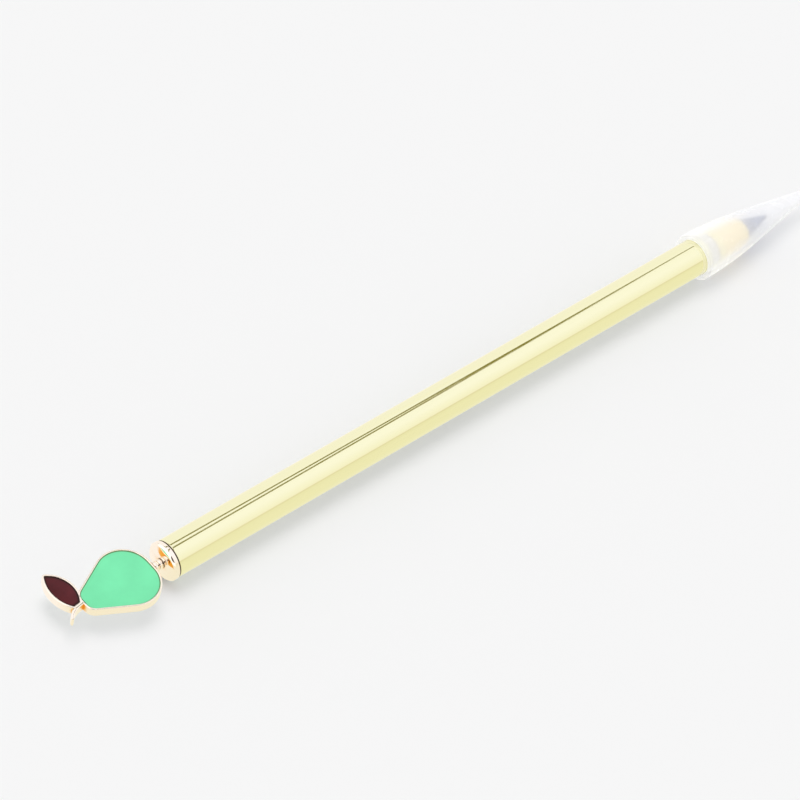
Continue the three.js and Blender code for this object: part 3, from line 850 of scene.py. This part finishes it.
charm_mesh = cut_together(
    plate("pear_plate", pear_arcs()),
    [
        (plate("leaf_plate", leaf_arcs()), "UNION"),
        (loose_object("stem", stem_strip()), "UNION"),
        tray_cutter("pear_cutter", pear_arcs()),
        tray_cutter("leaf_cutter", leaf_arcs()),
    ],
)
round_rims(charm_mesh)
finish_piece(
    "charm_frame", charm_mesh, rose_gold_plate("plated_casting", 0.004, NOOK_SHADE_AND_REFLECTION, 0.76),
    "barrel", "charm_casting", sharp=35,
)


# The enamels. Coloured epoxy enamel, poured into the trays and cured. It wets the rim's wall, so its
# surface lies a little lower than the rim and turns up to it all round.
ENAMEL_BELOW_RIM = 0.15
# its surface from the wall on: steps inwards, and down
MENISCUS = [(0.05, 0.035), (0.06, 0.022), (0.09, 0.015), (0.15, 0.01)]
PEAR_GREEN = (0.205, 0.84, 0.44)
# the edge colours are painted shade, where the enamel meets the rim's wall
PEAR_EDGE_SHADE = (0.10, 0.16, 0.04)
LEAF_BROWN = (0.092, 0.010, 0.014)
LEAF_EDGE_SHADE = (0.018, 0.004, 0.003)
EDGE_SHADE_SPREADS = (0.2, 0.4)  # how far the pear's and the leaf's edge colours reach in
LEAF_HALF_WIDTH = 1.95


def poured(arcs, middle, half_length, half_width):
    """A pool of enamel: its top face is extruded in small steps, each a little smaller and lower."""
    bm = slab(arcs, 0, tray_floor + FACE_CLEARANCE, CHARM_TOP - ENAMEL_BELOW_RIM)
    from_wall = bm.verts.layers.float.new("from_wall")
    bm.faces.ensure_lookup_table()
    top = max(bm.faces, key=lambda face: face.calc_center_median().z)
    centred = Matrix.Translation((-middle[0], -middle[1], 0))
    reached = 0
    for step, drop in MENISCUS:
        factors = [(half - reached - step) / (half - reached) for half in (half_length, half_width)]
        reached += step
        top = bmesh.ops.extrude_discrete_faces(bm, faces=[top])["faces"][0]
        bmesh.ops.scale(bm, vec=(*factors, 1), space=centred, verts=top.verts)
        bmesh.ops.translate(bm, vec=(0, 0, -drop), verts=top.verts)
        for vert in top.verts:
            vert[from_wall] = reached
    return bm


def enamel(name, middle, rim, spread, cloudy):
    """Glossy poured enamel, darker against the wall by painted shade, and a little uneven from its
    pigment.
    """
    material, node, link, shader = new_material(name)
    wall = node("Attribute", attribute_name="from_wall")
    # painted shade against the wall, fading out over the spread
    inner = eased(node, link, wall.outputs["Fac"], 0, spread)
    colour = blended(node, link, inner, rim, middle)
    cloud = ranged(node, link, object_noise(node, link, 220, 3), *cloudy)
    link(blended(node, link, 1, colour, cloud, way="MULTIPLY"), shader.inputs["Base Color"])
    link(ranged(node, link, object_noise(node, link, 700, 2), 0.16, 0.24), shader.inputs["Roughness"])
    shader.inputs["Specular IOR Level"].default_value = 0.2
    bumped(node, link, shader, object_noise(node, link, 260, 2), 0.1, depth=0.03)
    return material


pear_half_length = (belly_x + PEAR_BELLY[0] - neck_end) / 2
pear_middle = (neck_end + pear_half_length, PEAR_SHIFT)
pear_pool = poured(pear_arcs(), pear_middle, pear_half_length, sum(PEAR_BELLY))
finish_piece(
    "pear_pool", pear_pool,
    enamel("mint_enamel", PEAR_GREEN, PEAR_EDGE_SHADE, EDGE_SHADE_SPREADS[0], (0.95, 1.04)),
    "barrel", "pear_enamel",
)
leaf_middle = (
    neck_end - LEAF_TO_PEAR - LEAF_BASE_WIDTH / 2 - math.sin(LEAF_LEAN) * LEAF_LENGTH / 2,
    PEAR_SHIFT + LEAF_BASE_RISE + math.cos(LEAF_LEAN) * LEAF_LENGTH / 2,
)
leaf_pool = poured(leaf_arcs(), leaf_middle, LEAF_HALF_WIDTH, LEAF_HALF_WIDTH)
finish_piece(
    "leaf_pool", leaf_pool,
    enamel("burgundy_enamel", LEAF_BROWN, LEAF_EDGE_SHADE, EDGE_SHADE_SPREADS[1], (0.7, 1.25)),
    "barrel", "leaf_enamel",
)


# The front bush. A moulded ivory plastic plug, pressed into the tube up to its flange, which has three
# fine grooves round it. The nib holder's stud screws into its threaded bore.
BUSH_SPIGOT = 3.23
BUSH_FLANGE = 3.4
BUSH_FLANGE_LENGTH = 2.2
BUSH_LENGTH = 8.0
BUSH_BORE = 2.5
BUSH_EDGE = 0.15
BUSH_GROOVES = 3
BUSH_GROOVE = (0.22, 0.16)  # width and depth
GROOVE_PITCH = 0.75
GROOVE_SETBACK = 0.45  # from the shoulder to the first one's middle
STUD_RADIUS = 2.45
THREAD_PITCH = 0.8
THREAD_TURNS = 8
THREAD_DEPTH = 0.32
THREAD_PLAY = 0.07
THREAD_SINK = 0.05  # how far its root goes into the wall that carries it
THREAD_FACETS = 64  # in each turn
SPARE_TURNS = 4  # of the bush's thread, behind the stud's end
THREAD_SETBACK = 0.3  # of a thread's end from the face in front of it
BUSH_IVORY = (0.98, 0.95, 0.82)
# painted shade down in the flange's grooves
GROOVE_SHADE_OLIVE = (0.12, 0.09, 0.0)

shoulder = BARREL_LENGTH + FACE_CLEARANCE
bush_front = shoulder + BUSH_FLANGE_LENGTH
first_groove = shoulder + GROOVE_SETBACK
stud_end = bush_front - THREAD_TURNS * THREAD_PITCH


def add_thread(bm, start, end, section):
    """Adds a right-hand thread. Its section, in (pitches along, radius), moves one pitch each turn."""
    corners = [bm.verts.new((start + THREAD_PITCH * x, 0, radius)) for x, radius in section]
    first = bm.faces.new(corners)
    turns = math.floor((end - start) / THREAD_PITCH - 1)
    bmesh.ops.spin(
        bm, geom=[first], cent=(0, 0, 0), axis=(1, 0, 0), angle=2 * math.pi * turns,
        steps=THREAD_FACETS * turns, dvec=(THREAD_PITCH / THREAD_FACETS, 0, 0),
    )


def ivory_plastic(roughness, grain):
    """Moulded plastic with a fine eroded grain, darker down in its grooves by painted shade."""
    material, node, link, shader = new_material("ivory_plastic")
    calculate = calculator(node, link)
    along = object_axes(node, link)[0]
    from_groove = calculate("MULTIPLY_ADD", along, 1 / MM, -first_groove - seam_x / MM)
    off_groove = calculate("PINGPONG", from_groove, GROOVE_PITCH / 2)
    in_groove = eased(node, link, off_groove, BUSH_GROOVE[0] * 0.6, BUSH_GROOVE[0] * 0.4)
    on_flange = calculate("GREATER_THAN", from_groove, -GROOVE_PITCH / 2)
    groove_shade = calculate("MULTIPLY", in_groove, on_flange)
    shade = blended(node, link, groove_shade, BUSH_IVORY, GROOVE_SHADE_OLIVE)
    cloud = ranged(node, link, object_noise(node, link, 400, 3), 0.96, 1.02)
    link(blended(node, link, 1, shade, cloud, way="MULTIPLY"), shader.inputs["Base Color"])
    eroded = object_noise(node, link, grain, 2)
    link(ranged(node, link, eroded, *roughness), shader.inputs["Roughness"])
    bumped(node, link, shader, eroded, 0.15)
    return material


groove_width, groove_depth = BUSH_GROOVE
groove_points = [
    (first_groove + i * GROOVE_PITCH + side * groove_width / 2, BUSH_FLANGE - down * groove_depth)
    for i in range(BUSH_GROOVES)
    for side, down in ((-1, 0), (-0.5, 1), (0.5, 1), (1, 0))
]
bush_mesh = turned(
    [
        (shoulder - BUSH_LENGTH, BUSH_BORE),
        (shoulder - BUSH_LENGTH, BUSH_SPIGOT),
        (shoulder, BUSH_SPIGOT),
        (shoulder, BUSH_FLANGE),
        *groove_points,
        (bush_front, BUSH_FLANGE),
        (bush_front, BUSH_BORE),
    ]
)
break_edges(bush_mesh, BUSH_EDGE, sharper_than=80)
# its ridge runs in the stud's groove, with a little play on both flanks
bore_crest = STUD_RADIUS - THREAD_DEPTH + THREAD_PLAY
add_thread(
    bush_mesh, stud_end - SPARE_TURNS * THREAD_PITCH, bush_front - THREAD_SETBACK,
    [(-0.363, BUSH_BORE + THREAD_SINK), (-0.363, BUSH_BORE), (-0.035, bore_crest),
     (0.085, bore_crest), (0.413, BUSH_BORE), (0.413, BUSH_BORE + THREAD_SINK)],
)
finish_piece(
    "bush_plug", bush_mesh, ivory_plastic((0.35, 0.45), 9000),
    "barrel", "front_bush", sharp=40,
)


# The collar ring. A turned aluminium ring, trapped between the bush and the holder, with one fine
# groove round its middle.
RING_RADIUS = 3.66
RING_LENGTH = 1.45
RING_GROOVE = (0.3, 0.18)
RING_EDGE = 0.12
RING_TONE = (0.95, 0.84, 0.30)  # much yellower than the bare metal, because the cap's veil pales it

ring_back = bush_front + FACE_CLEARANCE
ring_middle = ring_back + RING_LENGTH / 2


def tooled(node, link, shader, roughness, tool_marks):
    """Marks turned metal with the fine rings that the tool leaves round it."""
    rings = object_noise(node, link, 100, 3, (tool_marks, 0.5, 0.5))
    link(ranged(node, link, rings, *roughness), shader.inputs["Roughness"])
    bumped(node, link, shader, rings, 0.2)


def turned_metal(name, colour, roughness, tool_marks):
    material, node, link, shader = new_material(name)
    shader.inputs["Base Color"].default_value = (*colour, 1)
    shader.inputs["Metallic"].default_value = 1
    tooled(node, link, shader, roughness, tool_marks)
    return material


ring_mesh = turned(
    [
        (ring_back, BUSH_BORE),
        (ring_back, RING_RADIUS),
        (ring_middle - RING_GROOVE[0] / 2, RING_RADIUS),
        (ring_middle, RING_RADIUS - RING_GROOVE[1]),
        (ring_middle + RING_GROOVE[0] / 2, RING_RADIUS),
        (ring_back + RING_LENGTH, RING_RADIUS),
        (ring_back + RING_LENGTH, BUSH_BORE),
    ]
)
break_edges(ring_mesh, RING_EDGE, sharper_than=60)
finish_piece(
    "trim_ring", ring_mesh, turned_metal("pale_ring", RING_TONE, (0.12, 0.2), 60),
    "collar", "collar_ring",
)


# The nib holder. Turned brass, plated rose gold. Its sleeve tapers to a domed end, and its threaded
# stud screws into the bush, through the ring.
HOLDER_BACK = 3.5
HOLDER_FRONT = 2.95
HOLDER_TAPER = 6.6
HOLDER_DOME = 1.3
HOLDER_EDGE = 0.12
STUD_CHAMFER = 0.1
NIB_BASE = 2.44
NIB_SHANK = 1.5
NIB_SHANK_LENGTH = 5.0
SOCKET_SPACE = 0.1  # behind the nib's shank
HOLDER_TONE = (1.0, 0.82, 0.30)  # much yellower than its plating, for the same reason

holder_back = ring_back + RING_LENGTH + FACE_CLEARANCE
holder_front = holder_back + HOLDER_TAPER + HOLDER_DOME
nib_back = holder_front + FACE_CLEARANCE
socket_end = nib_back - NIB_SHANK_LENGTH - SOCKET_SPACE
stud_root = STUD_RADIUS - THREAD_DEPTH

holder_mesh = turned(
    [
        (stud_end, 0),
        (stud_end, stud_root - STUD_CHAMFER),
        (stud_end + STUD_CHAMFER, stud_root),
        (holder_back, stud_root),
        (holder_back, HOLDER_BACK - HOLDER_EDGE),
        (holder_back + HOLDER_EDGE / 3, HOLDER_BACK - HOLDER_EDGE / 3),
        (holder_back + HOLDER_EDGE, HOLDER_BACK),
        *quarter(
            holder_back + HOLDER_TAPER, HOLDER_FRONT, HOLDER_DOME, HOLDER_FRONT - NIB_BASE, steps=12
        ),
        (holder_front, NIB_SHANK + FACE_CLEARANCE),
        (socket_end, NIB_SHANK + FACE_CLEARANCE),
        (socket_end, 0),
    ]
)
add_thread(
    holder_mesh, stud_end, holder_back - THREAD_SETBACK,
    [(0.1, stud_root - THREAD_SINK), (0.1, stud_root), (0.45, STUD_RADIUS), (0.6, STUD_RADIUS),
     (0.95, stud_root), (0.95, stud_root - THREAD_SINK)],
)
finish_piece(
    "nib_sleeve", holder_mesh, turned_metal("plated_holder", HOLDER_TONE, (0.2, 0.3), 50),
    "tip", "nib_holder", sharp=40,
)


# The nib. A cone of soft grey writing alloy, turned to a point and left unpolished, on a shank that is
# pressed into the holder. Writing has rubbed its point a little brighter.
NIB_LENGTH = 7.85
NIB_POINT = 0.3
POINT_STEPS = 8
NIB_TONE = (0.05, 0.10, 0.28)  # bluer and darker than the grey alloy, for the same reason
NIB_RUBBED = (0.30, 0.31, 0.33)
NIB_RUBBED_LENGTH = 1.2

nib_slope = math.atan2(NIB_BASE - NIB_POINT, NIB_LENGTH - NIB_POINT)
point_centre = nib_back + NIB_LENGTH - NIB_POINT
point_points = []
for i in range(POINT_STEPS + 1):
    angle = nib_slope + (math.pi / 2 - nib_slope) * i / POINT_STEPS
    radius = NIB_POINT * math.cos(angle) if i < POINT_STEPS else 0
    point_points.append((point_centre + NIB_POINT * math.sin(angle), radius))


def writing_alloy():
    material, node, link, shader = new_material("writing_alloy")
    along = object_axes(node, link)[0]
    rubbed = eased(
        node, link, along,
        seam_x + (point_centre - NIB_RUBBED_LENGTH) * MM, seam_x + (point_centre + NIB_POINT) * MM,
    )
    link(blended(node, link, rubbed, NIB_TONE, NIB_RUBBED), shader.inputs["Base Color"])
    shader.inputs["Metallic"].default_value = 0.85
    tooled(node, link, shader, (0.32, 0.48), 55)
    return material


nib_mesh = turned(
    [
        (nib_back - NIB_SHANK_LENGTH, 0),
        (nib_back - NIB_SHANK_LENGTH, NIB_SHANK),
        (nib_back, NIB_SHANK),
        (nib_back, NIB_BASE),
        *point_points,
    ]
)
finish_piece("writing_nib", nib_mesh, writing_alloy(), "tip", "nib")


# The cap. Moulded in milky translucent polypropylene and pushed over the mouth of the barrel, which a
# narrower band in its own mouth grips. It bows in from the mouth and runs to a small round tip.
CAP_OVERLAP = 2.0
CAP_MOUTH = 4.95
CAP_ROUND = 0.25
CAP_BOW = 14.7
CAP_TAPER = math.radians(8.9)
CAP_TIP = 0.85
CAP_WALL = 0.9
CAP_BORE_END = 0.35
CAP_GRIP_CLEARANCE = 0.05
CAP_GRIP_LENGTH = 1.5
CAP_GRIP_STEP = 0.25
CAP_ROUND_CUT = 0.07  # what the middle of the mouth's rounding takes off the corner
CAP_STEPS = (24, 12)  # along its bow, and round its tip
CAP_MILK = (0.97, 0.97, 0.98)
CAP_VEIL = (0.42, 0.97)  # how much its wall hides, seen flat on and edge on
CAP_VEIL_TURN = (0.25, 0.95)  # how far its wall is turned away at each
CAP_THROUGH = 0.2  # the share of the scattered light that goes through
# it gives off light, in place of what runs along inside its wall: at its mouth, and further on
CAP_GLOW = (0.22, 0.08)
CAP_GLOW_REACH = 26

cap_mouth = BARREL_LENGTH - CAP_OVERLAP
cap_grip = BARREL_RADIUS + CAP_GRIP_CLEARANCE


def cap_radius(distance):
    """The cap's outer radius at a distance from its mouth: a bow first, and then a straight taper."""
    bow = CAP_BOW / math.sin(CAP_TAPER)
    bowed = min(distance, CAP_BOW)
    drop = bow - math.sqrt(bow**2 - bowed**2)
    return CAP_MOUTH - drop - math.tan(CAP_TAPER) * (distance - bowed)


def cap_distance(radius):
    """How far from its mouth the taper has a radius."""
    return CAP_BOW + (cap_radius(CAP_BOW) - radius) / math.tan(CAP_TAPER)


def milky_plastic():
    """Translucent plastic. It lets shapes through, and scatters the rest both ways as milk does."""
    material, node, link, shader = new_material("milky_plastic")
    shader.inputs["Base Color"].default_value = (*CAP_MILK, 1)
    shader.inputs["Emission Color"].default_value = (*CAP_MILK, 1)
    glow_start = seam_x + cap_mouth * MM
    glow = eased(
        node, link, object_axes(node, link)[0], glow_start, glow_start + CAP_GLOW_REACH * MM, *CAP_GLOW
    )
    link(glow, shader.inputs["Emission Strength"])
    link(ranged(node, link, object_noise(node, link, 500, 3), 0.22, 0.30), shader.inputs["Roughness"])
    bumped(node, link, shader, object_noise(node, link, 160, 2, (0.4, 1, 1)), 0.08, depth=0.02)
    through = node("BsdfTranslucent")
    through.inputs["Color"].default_value = (*CAP_MILK, 1)
    scattered = blended_shaders(node, link, CAP_THROUGH, shader.outputs[0], through.outputs[0])
    facing = node("LayerWeight")
    facing.inputs["Blend"].default_value = 0.5
    veil = eased(node, link, facing.outputs["Facing"], *CAP_VEIL_TURN, *CAP_VEIL)
    veiled = blended_shaders(node, link, veil, node("BsdfTransparent").outputs[0], scattered)
    output = next(item for item in material.node_tree.nodes if item.type == "OUTPUT_MATERIAL")
    link(veiled, output.inputs[0])
    return material


tip_centre = cap_distance(CAP_TIP / math.cos(CAP_TAPER))
bore_end = cap_distance(CAP_BORE_END + CAP_WALL)
bore_start = CAP_GRIP_LENGTH + CAP_GRIP_STEP
bow_steps, tip_steps = CAP_STEPS


def bow_wall(start, end, depth):
    """Points along the bow of the cap's wall, at a depth below its outside."""
    distances = [start + (end - start) * i / bow_steps for i in range(bow_steps + 1)]
    return [(cap_mouth + distance, cap_radius(distance) - depth) for distance in distances]


tip_points = []
for i in range(tip_steps + 1):
    angle = CAP_TAPER + (math.pi / 2 - CAP_TAPER) * i / tip_steps
    radius = CAP_TIP * math.cos(angle) if i < tip_steps else 0
    tip_points.append((cap_mouth + tip_centre + CAP_TIP * math.sin(angle), radius))
cap_mesh = turned(
    [
        (cap_mouth + bore_end, 0),
        (cap_mouth + bore_end, CAP_BORE_END),
        *bow_wall(CAP_BOW, bore_start, CAP_WALL),
        (cap_mouth + CAP_GRIP_LENGTH, cap_grip),
        (cap_mouth + CAP_ROUND, cap_grip),
        (cap_mouth + CAP_ROUND_CUT, cap_grip + CAP_ROUND_CUT),
        (cap_mouth, cap_grip + CAP_ROUND),
        (cap_mouth, CAP_MOUTH - CAP_ROUND),
        (cap_mouth + CAP_ROUND_CUT, CAP_MOUTH - CAP_ROUND_CUT),
        *bow_wall(CAP_ROUND, CAP_BOW, 0),
        *tip_points,
    ]
)
finish_piece("nib_cap", cap_mesh, milky_plastic(), "cap", "cap")
